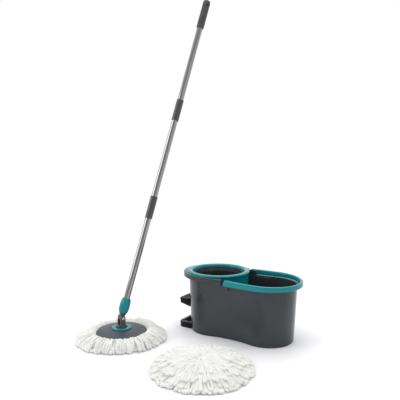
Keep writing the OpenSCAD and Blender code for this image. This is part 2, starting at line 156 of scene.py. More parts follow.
def strand_mat():
    m, nt, b = new_mat("strand_yarn")
    L = nt.links.new
    tc = node(nt, "ShaderNodeTexCoord")
    n1 = node(nt, "ShaderNodeTexNoise", Scale=38.0, Detail=5.0, Roughness=0.65)
    L(tc.outputs["Object"], n1.inputs["Vector"])
    n2 = node(nt, "ShaderNodeTexNoise", Scale=700.0, Detail=3.0, Roughness=0.7)
    L(tc.outputs["Object"], n2.inputs["Vector"])
    mxv = node(nt, "ShaderNodeMath", operation="ADD")
    L(n1.outputs["Fac"], mxv.inputs[0])
    L(n2.outputs["Fac"], mxv.inputs[1])
    ramp = node(nt, "ShaderNodeValToRGB")
    ramp.color_ramp.elements[0].position, ramp.color_ramp.elements[1].position = 0.62, 1.25
    ramp.color_ramp.elements[0].position = 0.62
    ramp.color_ramp.elements[1].position = 1.0
    ramp.color_ramp.elements[0].color = (0.50, 0.50, 0.485, 1)
    ramp.color_ramp.elements[1].color = (0.61, 0.61, 0.595, 1)
    L(mxv.outputs[0], ramp.inputs["Fac"])
    L(ramp.outputs["Color"], b.inputs["Base Color"])
    b.inputs["Roughness"].default_value = 0.85
    b.inputs["Sheen Weight"].default_value = 0.35
    b.inputs["Sheen Roughness"].default_value = 0.5
    b.inputs["Specular IOR Level"].default_value = 0.25
    b.inputs["Subsurface Weight"].default_value = 0.15
    # painted light: a faint white glow on the yarn lightens the shade between the strands; the mop_bed and spare_bed
    # under them glow the same way, as they use this material
    b.inputs["Emission Color"].default_value = (1.0, 1.0, 0.975, 1)
    b.inputs["Emission Strength"].default_value = 0.17
    b.inputs["Subsurface Scale"].default_value = 0.004
    b.inputs["Subsurface Radius"].default_value = (1.0, 1.0, 0.95)
    n3 = node(nt, "ShaderNodeTexNoise", Scale=1500.0, Detail=3.0, Roughness=0.7)
    L(tc.outputs["Object"], n3.inputs["Vector"])
    bp = node(nt, "ShaderNodeBump", Strength=0.55, Distance=0.0009)
    L(n3.outputs["Fac"], bp.inputs["Height"])
    L(bp.outputs["Normal"], b.inputs["Normal"])
    return m


SLATE = (0.029, 0.036, 0.042)
TEAL = (0.0, 0.21, 0.235)
m_slate = plastic("slate_gloss", SLATE, rough=0.19, coat=0.12, var=0.06, scuff=0.12, bump=0.02, dust=0.03, spec=0.34)
m_slate_in = plastic("slate_inside", (0.046, 0.046, 0.050), rough=0.33, coat=0.0, var=0.08, scuff=0.14, bump=0.03)
m_teal = plastic("teal_gloss", TEAL, rough=0.17, coat=0.15, var=0.05, scuff=0.08, bump=0.015, spec=0.25)
m_black = plastic("black_satin", (0.004, 0.004, 0.0045), rough=0.36, var=0.15, scuff=0.15, bump=0.12, spec=0.16)
m_grey = plastic("grey_satin", (0.070, 0.074, 0.080), rough=0.38, var=0.07, scuff=0.14, bump=0.10, dust=0.05)
m_basket = plastic("basket_dark", (0.046, 0.047, 0.052), rough=0.22, var=0.12, scuff=0.12, bump=0.05, spec=0.7)
m_gear = plastic("gear_natural", (0.66, 0.65, 0.58), rough=0.45, var=0.04, scuff=0.1, bump=0.06)
m_ring = plastic("ring_white", (0.74, 0.74, 0.71), rough=0.4, var=0.03, scuff=0.1, bump=0.06)
m_chrome = plastic("pole_chrome", (0.33, 0.33, 0.325), rough=0.10, var=0.03, scuff=0.07, bump=0.01, metal=1.0, stretch=(6, 6, 0.4), grain=1600)
m_steel = plastic("plain_steel", (0.56, 0.56, 0.57), rough=0.32, var=0.08, scuff=0.16, bump=0.08, metal=1.0)
m_bronze = plastic("sinter_bronze", (0.45, 0.30, 0.14), rough=0.42, var=0.12, scuff=0.15, bump=0.2, metal=1.0)
m_rubber = plastic("seal_rubber", (0.018, 0.018, 0.018), rough=0.75, var=0.1, scuff=0.1, bump=0.2)
m_grip = plastic("grip_rubber", (0.035, 0.035, 0.037), rough=0.55, var=0.12, scuff=0.18, bump=0.3, dust=0.10)
m_knuckle = plastic("knuckle_grey", (0.050, 0.048, 0.050), rough=0.30, coat=0.1, var=0.08, scuff=0.12, bump=0.08)
m_plate = plastic("plate_grey", (0.038, 0.050, 0.058), rough=0.42, var=0.05, scuff=0.12, bump=0.10, dust=0.02, spec=0.35)
m_strand = strand_mat()


def use(o, m):
    o.data.materials.clear()
    o.data.materials.append(m)


for names, m in (
    (("base_cover", "foot_bracket", "pedal_lever", "lower_joiner", "upper_joiner"), m_black),
    (("cover_screws", "pedal_axle", "wheel_axle", "return_spring", "spindle", "clutch_rollers", "swivel_clip", "knuckle_pin"), m_steel),
    (("spinner_collar", "carry_handle", "lock_collar", "plate_ring"), m_teal),
    (("gear_frame", "basket_nut"), m_grey),
    (("knuckle_base", "knuckle_socket", "lower_collar", "upper_collar"), m_knuckle),
    (("mop_plate",), m_plate),
    (("spindle_bush",), m_bronze),
    (("shaft_seal",), m_rubber),
    (("crown_wheel", "drive_pinion"), m_gear),
    (("spin_basket",), m_basket),
    (("refill_ring", "spare_ring"), m_ring),
    (("lower_tube", "middle_tube", "upper_tube"), m_chrome),
    (("grip",), m_grip),
    (("bucket_shell",), m_slate),
    (("mop_strands", "spare_strands"), m_strand),
):
    for nm in names:
        use(NODES[nm], m)


# ------------------------------------------------------------------ mesh helpers (all in mm, scaled to metres)
def make(name, verts, faces, m, body, replaces=(), sharp=34, M=None):
    v = np.asarray(verts, float).reshape(-1, 3)
    if M is not None:
        v = v @ np.array(M)[:3, :3].T + np.array(M)[:3, 3]
    me = bpy.data.meshes.new(name)
    me.from_pydata((v / 1000.0).tolist(), [], [list(map(int, f)) for f in faces])
    me.validate()
    bm = bmesh.new()
    bm.from_mesh(me)
    bmesh.ops.remove_doubles(bm, verts=bm.verts, dist=1e-6)
    bmesh.ops.dissolve_degenerate(bm, edges=bm.edges, dist=1e-7)
    bmesh.ops.recalc_face_normals(bm, faces=bm.faces)
    bm.to_mesh(me)
    bm.free()
    o = bpy.data.objects.new(name, me)
    SC.collection.objects.link(o)
    finish_piece(o, m, body, replaces, sharp)
    return o


def finish_piece(o, m, body, replaces=(), sharp=34):
    me = o.data
    me.polygons.foreach_set("use_smooth", [True] * len(me.polygons))
    if sharp:
        me.set_sharp_from_angle(angle=math.radians(sharp))
    if m is not None:
        use(o, m)
    if body:
        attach(o, body)
    if replaces:
        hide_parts(*replaces)
    me.update()


def fillet(pts, r=1.0, n=3, closed=True):
    """Rounds every corner of a polyline. r may be one number or one per point."""
    P = [np.array(p, float) for p in pts]
    N = len(P)
    rr = r if hasattr(r, "__len__") else [r] * N
    out = []
    for i in range(N):
        if not closed and i in (0, N - 1) or rr[i] <= 0:
            out.append(P[i])
            continue
        a, b, c = P[i - 1], P[i], P[(i + 1) % N]
        la, lc = np.linalg.norm(a - b), np.linalg.norm(c - b)
        k = min(rr[i], la * 0.48, lc * 0.48)
        p0, p2 = b + (a - b) / la * k, b + (c - b) / lc * k
        for j in range(n + 1):
            t = j / n
            out.append((1 - t) ** 2 * p0 + 2 * t * (1 - t) * b + t * t * p2)
    return out


def loft(rings, wrap=True, closed=False, caps=(False, False)):
    """Rings of equal length. wrap joins the ends of each ring, closed joins last ring to first."""
    R, M = len(rings), len(rings[0])
    v = np.concatenate([np.asarray(r, float) for r in rings])
    f = []
    for i in range(R if closed else R - 1):
        a, b = i * M, ((i + 1) % R) * M
        for j in range(M if wrap else M - 1):
            k = (j + 1) % M
            f.append((a + j, a + k, b + k, b + j))
    if caps[0]:
        f.append(tuple(range(M))[::-1])
    if caps[1]:
        f.append(tuple((R - 1) * M + j for j in range(M)))
    return v, f


def lathe(name, prof, m, body, seg=96, closed=True, M=None, replaces=(), sharp=34, caps=(False, False), mod=None):
    """prof: (r, z) points. mod(theta, r, z, i) -> r lets ribs and flutes in."""
    rings = []
    th = np.arange(seg) * 2 * math.pi / seg
    for i, (r, z) in enumerate(prof):
        rr = np.full(seg, r, float) if mod is None else np.array([mod(t, r, z, i) for t in th])
        rings.append(np.stack([rr * np.cos(th), rr * np.sin(th), np.full(seg, z, float)], 1))
    v, f = loft(rings, True, closed, caps)
    return make(name, v, f, m, body, replaces, sharp, M)


def refined(nm, m, bevel, body, name=None, seg=3, angle=32):
    """A copy of a CAD node with its edges rounded, standing for it."""
    src = NODES[nm]
    me = src.data.copy()
    bm = bmesh.new()
    bm.from_mesh(me)
    bmesh.ops.remove_doubles(bm, verts=bm.verts, dist=2e-6)
    bmesh.ops.dissolve_limit(bm, angle_limit=math.radians(0.6), verts=bm.verts, edges=bm.edges)
    bm.to_mesh(me)
    bm.free()
    o = bpy.data.objects.new(name or nm + "_v", me)
    SC.collection.objects.link(o)
    md = o.modifiers.new("bev", "BEVEL")
    md.width = bevel / 1000.0
    md.segments = seg
    md.limit_method = "ANGLE"
    md.angle_limit = math.radians(angle)
    md.use_clamp_overlap = True
    md.harden_normals = False
    dg = bpy.context.evaluated_depsgraph_get()
    me2 = bpy.data.meshes.new_from_object(o.evaluated_get(dg))
    o.modifiers.clear()
    o.data = me2
    finish_piece(o, m, body, (nm,), 38)
    return o


def boolean(o, other, op):
    md = o.modifiers.new("b", "BOOLEAN")
    md.operation = op
    md.object = other
    md.solver = "EXACT"
    dg = bpy.context.evaluated_depsgraph_get()
    me = bpy.data.meshes.new_from_object(o.evaluated_get(dg))
    o.modifiers.clear()
    o.data = me
    bpy.data.objects.remove(other)


def raw(name, v, f):
    me = bpy.data.meshes.new(name)
    me.from_pydata((np.asarray(v, float) / 1000.0).tolist(), [], [list(map(int, q)) for q in f])
    bm = bmesh.new()
    bm.from_mesh(me)
    bmesh.ops.remove_doubles(bm, verts=bm.verts, dist=1e-6)
    bmesh.ops.recalc_face_normals(bm, faces=bm.faces)
    bm.to_mesh(me)
    bm.free()
    o = bpy.data.objects.new(name, me)
    SC.collection.objects.link(o)
    return o


def boxraw(a, b):
    v = [(x, y, z) for x in (a[0], b[0]) for y in (a[1], b[1]) for z in (a[2], b[2])]
    return raw("cut", v, [(0, 1, 3, 2), (4, 6, 7, 5), (0, 4, 5, 1), (2, 3, 7, 6), (0, 2, 6, 4), (1, 5, 7, 3)])


# ------------------------------------------------------------------ bucket
LX, WX, LR, WR, WAIST = -8.0, 184.0, 90.0, 91.5, 80.0
nA, nW = 48, 34
kinds = []  # (kind, value) down the upper half, left to right
for i in range(nA + 1):
    kinds.append(("L", i / nA))
for i in range(1, nW):
    kinds.append(("a", i / nW))
for i in range(nW + 1):
    kinds.append(("b", 1 - i / nW))
for i in range(1, nA + 1):
    kinds.append(("R", 1 - i / nA))
HALF = len(kinds)
full = [(k, 1) for k in kinds] + [(k, -1) for k in kinds[-2:0:-1]]
MR = len(full)


def herm(t, a, sa, b, L):
    return a * (2 * t**3 - 3 * t**2 + 1) + sa * L * (t**3 - 2 * t**2 + t) + b * (3 * t**2 - 2 * t**3)


def outline(o, z):
    """The tub's outline moved out by o at height z. Both may be arrays, one value for each point round the rim."""
    o = np.broadcast_to(np.asarray(o, float), (MR,))
    z = np.broadcast_to(np.asarray(z, float), (MR,))
    out = np.zeros((MR, 3))
    for i, ((k, v), s) in enumerate(full):
        ra, rb = LR + 8 * z[i] / 190 + o[i], WR + 11 * z[i] / 190 + o[i]
        w = WAIST + 17 * z[i] / 190 + o[i]
        ta = 75 + 15 * z[i] / 190
        ct, st = math.cos(math.radians(ta)), math.sin(math.radians(ta))
        xa, xb = LX + ra * ct, WX - rb * ct
        xm = (xa + xb) / 2
        if k == "L":
            a = math.radians(180 - (180 - ta) * v)
            x, y = LX + ra * math.cos(a), ra * math.sin(a)
        elif k == "R":
            a = math.radians((180 - ta) * v)
            x, y = WX + rb * math.cos(a), rb * math.sin(a)
        elif k == "a":
            x, y = xa + (xm - xa) * v, herm(v, ra * st, -ct / st, w, xm - xa)
        else:
            x, y = xb - (xb - xm) * v, herm(v, rb * st, -ct / st, w, xb - xm)
        out[i] = (x, s * y, z[i])
    return out


def smooth(a, b, x):
    t = np.clip((x - a) / (b - a), 0, 1)
    return t * t * (3 - 2 * t)


base = outline(0, 190)
wl = 1 - smooth(69.0, 71.5, base[:, 0])       # 1 on the spinner end, 0 on the well
wf = smooth(97.0, 101.0, base[:, 0])          # 1 where the well has its flange
ZT = (207 - 0.025 * base[:, 0]) * wl + 187.5 * (1 - wl)


def rim_out(z, inset=0.0):
    """Outer edge of the rim: round and then straight on the spinner end, an even flange round the well."""
    fl = outline(0, z) + (outline(9.5 - inset, z) - outline(0, z)) * wf[:, None]
    b = fl.copy()
    R = 117.5 - inset
    tx, ty = 71.0, 111.6 - inset
    d = math.hypot(tx - LX, ty)
    at = math.atan2(ty, tx - LX) + math.acos(min(1, R / d))      # where the straight side leaves the circle
    n_l = sum(1 for k in kinds if k[0] == "L")
    for i, ((k, v), s) in enumerate(full):
        x0 = base[i, 0]
        a = math.atan2(abs(base[i, 1]), x0 - LX)
        if x0 >= 72:
            continue
        if a >= at:
            x, y = LX + R * math.cos(a), R * math.sin(a)
        else:
            sx_, sy_ = LX + R * math.cos(at), R * math.sin(at)
            t = (x0 - (LX + 98 * math.cos(at))) / (71 - (LX + 98 * math.cos(at)))
            t = min(1, max(0, t))
            x, y = sx_ + (tx - sx_) * t, sy_ + (ty - sy_) * t
        b[i, 0], b[i, 1] = x, s * y
    return fl * (1 - wl[:, None]) + b * wl[:, None]


def bucket_visual():
    rings = []
    for o, z in ((-1.6, 0), (-0.7, 0.35), (-0.15, 1.2), (0, 2.6)):
        rings.append(outline(o, z))
    for z in np.linspace(8, 150, 12):
        rings.append(outline(0, z))
    zf = 185.7 * (1 - wl) + ZT * wl               # top of the flange, or of the rim
    rings.append(outline(0, zf - 18))
    rings.append(outline(0, zf - 9))
    rings.append(outline(0, zf - 5.2))
    rings.append(outline(0.5, zf - 3.9))
    rings.append(outline(1.8 * np.maximum(wl, wf), zf - 3.3))
    rings.append(rim_out(zf - 3.1, 4.4))
    rings.append(rim_out(zf - 3.3, 3.0))
    rings.append(rim_out(zf - 5.0 * wl - 3.2 * (1 - wl), 2.6))
    sk = 15.0 * wl + 3.0 * (1 - wl)
    rings.append(rim_out(zf - sk, 2.4))
    rings.append(rim_out(zf - sk - 0.3, 1.5))
    rings.append(rim_out(zf - sk - 0.2, 0.5))
    rings.append(rim_out(zf - sk + 0.2, 0.0))
    rings.append(rim_out(zf - 2.4 * wl - 1.2 * (1 - wl), 0.0))
    rings.append(rim_out(zf - 1.1 * wl - 0.7 * (1 - wl), 0.4))
    rings.append(rim_out(zf - 0.3, 1.4))
    rings.append(rim_out(zf, 2.8))
    rings.append(outline(1.6, zf + 0.0))
    rings.append(outline(0.1, zf + 0.5 * (1 - wl)))
    rings.append(outline(0.0, ZT - 1.0 * (1 - wl)))
    rings.append(outline(-0.8, ZT))
    rings.append(outline(-1.9, ZT - 0.35))
    rings.append(outline(-2.6, ZT - 1.5))
    for f in (0.93, 0.75, 0.5, 0.3, 0.12):
        rings.append(outline(-2.6, 6 + (ZT - 6) * f))
    rings.append(outline(-2.6, 8))
    rings.append(outline(-3.2, 4.6))
    rings.append(outline(-5.2, 3.2))
    rings.append(outline(-8.0, 3.0))
    v, f = loft(rings, True, False, (True, True))
    tub = raw("bucket_tub", v, f)

    def clip(P, xmax):
        out = []
        n = len(P)
        for i in range(n):
            a, b = P[i], P[(i + 1) % n]
            if a[0] <= xmax:
                out.append(a)
            if (a[0] <= xmax) != (b[0] <= xmax):
                t = (xmax - a[0]) / (b[0] - a[0])
                out.append(a + (b - a) * t)
        return np.array(out)

    lo, hi = clip(outline(-1.2, 2.0), 81.0), clip(outline(-1.2, 100.0), 81.0)
    v, f = loft([lo, hi], True, False, (True, True))
    boolean(tub, raw("deck", v, f), "UNION")
    lo, hi = clip(outline(-2.6, -2.0), 78.0), clip(outline(-2.6, 97.0), 78.0)
    v, f = loft([lo, hi], True, False, (True, True))
    boolean(tub, raw("hollow", v, f), "DIFFERENCE")
    for s in (-1, 1):
        boolean(tub, boxraw((-112, s * 30 - 4.6, 20), (-78, s * 30 + 4.6, 88.5)), "DIFFERENCE")
    finish_piece(tub, m_slate, "bucket", ("bucket_shell",), 30)
    return tub


tub = bucket_visual()


def prism(name, pts, y0, y1, m, body, bevel=0.8, axis="y", M=None):
    """A flat outline in x and z, y0 to y1 thick, with rounded edges."""
    n = len(pts)
    mk = (lambda p, y: (p[0], y, p[1])) if axis == "y" else (lambda p, y: (p[0], p[1], y))
    v = [mk(p, y0) for p in pts] + [mk(p, y1) for p in pts]
    f = [tuple(range(n)), tuple(range(2 * n - 1, n - 1, -1))] + [(i, (i + 1) % n, n + (i + 1) % n, n + i) for i in range(n)]
    o = make(name, v, f, m, None, (), 0, M)
    md = o.modifiers.new("bev", "BEVEL")
    md.width = bevel / 1000
    md.segments = 3
    md.limit_method = "ANGLE"
    md.angle_limit = math.radians(40)
    dg = bpy.context.evaluated_depsgraph_get()
    me = bpy.data.meshes.new_from_object(o.evaluated_get(dg))
    o.modifiers.clear()
    o.data = me
    finish_piece(o, m, body, (), 38)
    return o


def arc(cx, cz, r, a0, a1, n):
    return [(cx + r * math.cos(math.radians(a0 + (a1 - a0) * i / n)), cz + r * math.sin(math.radians(a0 + (a1 - a0) * i / n))) for i in range(n + 1)]


for s in (-1, 1):
    pts = arc(82, 194.5, 8.5, 0, 180, 20) + [(73.5, 184), (75, 168), (89, 168), (90.5, 184)]
    y0, y1 = (94.4, 99.2) if s > 0 else (-99.2, -94.4)
    prism("handle_lug_" + ("far" if s > 0 else "near"), pts, y0, y1, m_slate, "bucket", 0.7)
    # the wall stands up behind the end of the handle
    pts = [(71.2, 184), (106.4, 184), (106, 190), (104, 197), (100, 201.6), (95, 203.4), (71.2, 203.8)]
    y0, y1 = (95.2, 98.1) if s > 0 else (-98.1, -95.2)
    prism("handle_wall_" + ("far" if s > 0 else "near"), pts, y0, y1, m_slate, "bucket", 0.7)
# tower that carries the spindle bush
lathe("deck_tower", fillet([(9.1, 99), (9.1, 126), (13, 126), (13, 101.5), (16, 99.4)], 1.0), m_slate, "bucket", 64)


# ------------------------------------------------------------------ collar
def collar():
    def plane(x, z, k):
        return z if k == 0 else (207 - 0.025 * x + 0.2 + (z - 207.0))
    prof = [(0, 92.9, 192.2), (0, 92.9, 204.0), (1, 94.0, 207.0), (1, 107.4, 207.0), (1, 109.4, 207.0), (1, 110.0, 207.5), (0, 110.0, 210.2), (0, 108.9, 212.4), (0, 105.0, 213.7), (0, 100, 214.0),
            (0, 96.0, 213.5), (0, 93.0, 211.4), (0, 91.5, 207.5), (0, 91.5, 192.3), (0, 92.2, 191.9)]
    prof = fillet([(k * 50, r, z) for k, r, z in prof], [0.3, 1, 1, .5, .5, .6, 1.2, 1.4, 2, 2, 2, 2, 2, .4, .3], 3)
    th = np.arange(220) * 2 * math.pi / 220
    rings = []
    for k, r, z in prof:
        x = r * np.cos(th)
        q = min(1, max(0, k / 50))
        rings.append(np.stack([x, r * np.sin(th), z * (1 - q) + q * (z + 0.2 - 0.025 * x)], 1))
    v, f = loft(rings, True, True)
    make("collar_ring", v, f, m_teal, "bucket", ("spinner_collar",), 40)
    # splash skirt inside the well, hung from the ring
    n = 72
    prof = fillet([(107, 206.0), (107, 150.0), (106.8, 142.6), (105.7, 142.1), (104.7, 142.6), (104.4, 150.0), (104.4, 206.0)], 0.6, 2, False)
    rings = []
    for j in range(n + 1):
        a = math.radians(-54 + 108 * j / n)
        rings.append([(r * math.cos(a), r * math.sin(a), z) for r, z in prof])
    v, f = loft(rings, True, False, (True, True))
    make("collar_skirt", v, f, m_teal, "bucket", (), 40)


collar()


# ------------------------------------------------------------------ carry handle
def handle():
    def by(x):
        return 118.9 - 8.1 * max(0.0, (174.6 - x) / 96.6) ** 1.6
    cen, R = 185.3, 119.5
    path = [(x, by(x)) for x in np.linspace(75, 170, 40)]
    a0 = math.degrees(math.acos((176.5 - cen) / R))
    for i in range(0, 141):
        a = math.radians(a0 - 2 * a0 * i / 140)
        path.append((cen + R * math.cos(a), R * math.sin(a)))
    path += [(x, -y) for x, y in path[39::-1]]
    P = np.array(path)
    P[1:-1] = P[1:-1] * 0.5 + (P[:-2] + P[2:]) * 0.25
    T = np.gradient(P, axis=0)
    T /= np.linalg.norm(T, axis=1)[:, None]
    Nn = np.stack([-T[:, 1], T[:, 0]], 1)   # outward
    if Nn[len(P) // 2] @ np.array([1, 0]) < 0:
        Nn = -Nn
    Nn[0], Nn[-1] = (0, 1), (0, -1)
    rings = []
    for i in range(len(P)):
        x = P[i, 0]
        top = 205.2 - 4.2 * (x - 82) / 238
        if x < 82:
            top = min(top, 198 + (x - 75) * 4.6 / 3 if x < 78 else 202.6 + (x - 78) * 2.6 / 4)
        e = min(i, len(P) - 1 - i)
        q = (0.9, 0.35, 0.1, 0)[min(e, 3)]
        h = top - 186.0
        prof = fillet([(q, 186.0 + q), (q, 186 + h * 0.55), (0.9 + q, top - 1.4), (3.4, top - q * 0.5), (7.4, top - q * 0.5), (10.0 - q, top - 1.4), (11.0 - q, 186 + h * 0.5), (11.0 - q, 186.0 + q)],
                      [1.3, 3.0, 2.6, 2.6, 2.6, 2.6, 3.0, 1.3], 4)
        rings.append([(P[i, 0] - Nn[i, 0] * o, P[i, 1] - Nn[i, 1] * o, z) for o, z in prof])
    v, f = loft(rings, True, False, (True, True))
    make("carry_band", v, f, m_teal, "handle", ("carry_handle",), 48)
    for s in (-1, 1):
        M = Matrix.Translation((82.0, s * 94.6, 194.5)) @ Matrix.Rotation(-s * math.pi / 2, 4, "X")
        lathe("band_stud_" + ("far" if s > 0 else "near"), fillet([(0.001, 0), (3.6, 0), (4.42, 0.8), (4.42, 6.2), (0.001, 6.2)], 0.3), m_teal, "handle", 40, True, M)


handle()

# ------------------------------------------------------------------ pedal, bracket, cover
refined("pedal_lever", m_black, 1.1, "pedal", "pedal_body")
refined("foot_bracket", m_black, 1.3, "bucket", "stand_bracket")
refined("base_cover", m_black, 0.5, "bucket", "under_cover")

# ------------------------------------------------------------------ mop
MX, MY, MZ = -224.6, -264.5, 74.0
AZ, LEAN = math.radians(65.2), math.radians(17.37)
HEAD = Matrix.Translation((MX, MY, 0))
POLE = Matrix.Translation((MX, MY, MZ)) @ Matrix.Rotation(AZ, 4, "Z") @ Matrix.Rotation(LEAN, 4, "Y")


def plate_mod(t, r, z, i):
    return r


lathe("mop_disc", fillet([(6.0, 34.6), (30, 34.4), (60, 31.6), (79, 27.6), (82, 25.9), (83.6, 26.0), (84.0, 27.2), (83.6, 29.6), (81.5, 31.8), (70, 34.2), (50, 37.6), (32, 39.4), (30.2, 39.9), (29.6, 40.0), (19.5, 40.05), (18.6, 40.6),
                          (18.2, 44.9), (17.2, 46.2), (6.0, 46.3)], [0, 2, 3, 2, 1, .8, .8, 1.4, 2.5, 6, 6, 3, .4, .3, .3, .6, 1, 1, 0], 3),
      m_plate, "mop_head", 128, True, HEAD, ("mop_plate",))
lathe("disc_snap", fillet([(55, 33.2), (55, 21.0), (56, 20.2), (58.4, 20.4), (59.0, 22.4), (58.0, 24.2), (58.0, 33.0)], .5), m_plate, "mop_head", 96, True, HEAD)
lathe("disc_ring", fillet([(19.2, 40.1), (19.2, 42.6), (20.2, 43.6), (30.8, 43.6), (32.3, 42.4), (32.4, 40.1)], [0.2, .8, .8, 1.6, 1.0, .2], 4),
      m_teal, "mop_head", 96, True, HEAD, ("plate_ring",))
refined("knuckle_base", m_knuckle, 1.3, "mop_knuckle", "knuckle_fork")
refined("knuckle_socket", m_knuckle, 1.3, "mop_pole", "knuckle_neck")


def flute(n, depth, z0, z1):
    def f(t, r, z, i):
        if r < 13.2 or not z0 < z < z1:
            return r
        e = min(1, (z - z0) / 5, (z1 - z) / 5)
        c = 0.5 + 0.5 * math.cos(n * t)
        return r - depth * e * c ** 6
    return f


zz = [(12.4, 17.7), (14.3, 17.7), (15.0, 19.5), (16.2, 23.5)] + [(16.2 + 1.2 * math.sin(math.pi / 2 * i / 4), 23.5 + 8 * i / 4) for i in range(1, 5)] + \
     [(17.4, z) for z in range(34, 46, 3)] + [(17.4 - 1.6 * (1 - math.cos(math.pi / 2 * i / 5)) - 0.0, 46 + 12 * i / 5) for i in range(0, 6)] + [(15.2, 60.5), (14.5, 63.2), (13.9, 64.8), (12.4, 64.8)]
lathe("lock_barrel", zz, m_teal, "mop_lock", 120, True, POLE, ("lock_collar",), 42, mod=flute(10, 0.75, 21, 61))


def sleeve(name, a, b, nodename):
    prof = [(10.56, a), (11.6, a), (12.3, a + 0.7), (12.65, a + 2.2)]
    for z in (a + 6, a + 7.2, a + 8.4):
        prof.append((12.65 if z != a + 7.2 else 12.1, z))
    for z in (a + 12.0, a + 13.2, a + 14.4):
        prof.append((12.65 if z != a + 13.2 else 12.1, z))
    prof += [(12.65, a + 20), (12.65, (a + b) / 2), (12.65, b - 20)]
    for z in (b - 14.4, b - 13.2, b - 12.0):
        prof.append((12.65 if z != b - 13.2 else 12.1, z))
    for z in (b - 8.4, b - 7.2, b - 6.0):
        prof.append((12.65 if z != b - 7.2 else 12.1, z))
    prof += [(12.65, b - 2.2), (12.3, b - 0.7), (11.6, b), (10.56, b)]
    lathe(name, prof, m_knuckle, "mop_pole", 80, True, POLE, (nodename,), 50)


sleeve("sleeve_lower", 343, 422, "lower_collar")
sleeve("sleeve_upper", 700.5, 779.5, "upper_collar")


def grip():
    prof = [(10.56, 1058), (11.6, 1058), (12.6, 1058.6), (13.2, 1060.0), (13.4, 1062)]
    z = 1068.0
    while z < 1146:
        prof += [(13.4, z), (12.9, z + 0.7), (12.7, z + 1.5), (12.9, z + 2.3), (13.4, z + 3.0), (13.45, z + 5.0)]
        z += 7.2
    prof += [(13.4, 1150), (13.4, 1158), (13.2, 1161), (12.6, 1163.6), (11.4, 1165.8), (9.6, 1167.2), (7.0, 1167.9), (3.0, 1168), (0.001, 1168)]
    prof += [(0.001, 1130.6), (10.56, 1130.6)]
    lathe("grip_sleeve", prof, m_grip, "mop_pole", 96, True, None, ("grip",), 50)
    o = bpy.data.objects["grip_sleeve"]
    v, f = [], []
    n = 40
    for y in (-25, 25):
        for i in range(n):
            a = 2 * math.pi * i / n
            v.append((4 * math.cos(a), y, 1148 + 4 * math.sin(a)))
    f = [(i, (i + 1) % n, n + (i + 1) % n, n + i) for i in range(n)] + [tuple(range(n))[::-1], tuple(range(n, 2 * n))]
    o.parent = None
    boolean(o, raw("cut", v, f), "DIFFERENCE")
    M4 = Matrix(POLE)
    M4.translation = M4.translation / 1000
    o.data.transform(M4)
    finish_piece(o, m_grip, "mop_pole", ("grip",), 50)


grip()


# ------------------------------------------------------------------ strands
rng = np.random.default_rng(7)


def resample(P, step):
    d = np.linalg.norm(np.diff(P, axis=0), axis=1)
    s = np.concatenate([[0], np.cumsum(d)])
    n = max(6, int(s[-1] / step))
    t = np.linspace(0, s[-1], n)
    return np.stack([np.interp(t, s, P[:, k]) for k in range(3)], 1), s[-1]


def soften(P, times=2):
    for _ in range(times):
        P[1:-1] = P[1:-1] * 0.5 + (P[:-2] + P[2:]) * 0.25
    return P


def strands(name, paths, body, replaces, rad=3.6, sides=8, step=2.5, pitch=15.0, zmin=0.3):
    V, F, base_i = [], [], 0
    th = np.arange(sides) * 2 * math.pi / sides
    for P in paths:
        P, length = resample(np.asarray(P, float), step)
        P = soften(P, 2)
        n = len(P)
        T = np.gradient(P, axis=0)
        T /= np.linalg.norm(T, axis=1)[:, None] + 1e-9
        S = np.zeros_like(T)
        ref = np.array([0.0, 0.0, 1.0]) if abs(T[0, 2]) < 0.9 else np.array([1.0, 0, 0])
        s = np.cross(T[0], ref)
        for i in range(n):
            s = s - T[i] * (s @ T[i])
            s /= np.linalg.norm(s) + 1e-9
            S[i] = s
        U = np.cross(S, T)
        r0 = rad * rng.uniform(0.86, 1.14)
        ph = rng.uniform(0, 6.28) + np.arange(n) * step * 2 * math.pi / (pitch * rng.uniform(0.9, 1.1))
        fat = 1 + 0.07 * np.sin(np.arange(n) * rng.uniform(0.25, 0.5) + rng.uniform(0, 6))
        end = np.minimum(1, 0.35 + np.minimum(np.arange(n), n - 1 - np.arange(n)) * 0.4)
        R = r0 * (fat * end)[:, None] * (1 + 0.13 * np.cos(2 * (th[None, :] - ph[:, None])) + rng.uniform(-0.085, 0.085, (n, sides)))
        ring = P[:, None, :] + R[..., None] * (np.cos(th)[None, :, None] * S[:, None, :] + np.sin(th)[None, :, None] * U[:, None, :])
        ring[..., 2] = np.maximum(ring[..., 2], zmin)
        V.append(ring.reshape(-1, 3))
        a = base_i + (np.arange(n - 1)[:, None] * sides + np.arange(sides)[None, :])
        b = base_i + (np.arange(n - 1)[:, None] * sides + (np.arange(sides)[None, :] + 1) % sides)
        q = np.stack([a, b, b + sides, a + sides], -1).reshape(-1, 4)
        F += q.tolist()
        F.append(list(range(base_i, base_i + sides))[::-1])
        F.append(list(range(base_i + (n - 1) * sides, base_i + n * sides)))
        base_i += n * sides
    me = bpy.data.meshes.new(name)
    me.from_pydata((np.concatenate(V) / 1000).tolist(), [], F)
    o = bpy.data.objects.new(name, me)
    SC.collection.objects.link(o)
    finish_piece(o, m_strand, body, replaces, 0)
    return o


def leg(cx, cy, phi, prof, wig, amp, phase):
    """prof: (r, z) points. wig swings it sideways."""
    prof = np.asarray(prof, float)
    n = len(prof)
    t = np.linspace(0, 1, n)
    ang = phi + (wig * t**1.5 + amp * np.sin(t * 5.0 + phase)) / np.maximum(prof[:, 0], 20)
    return np.stack([cx + prof[:, 0] * np.cos(ang), cy + prof[:, 0] * np.sin(ang), prof[:, 1]], 1)


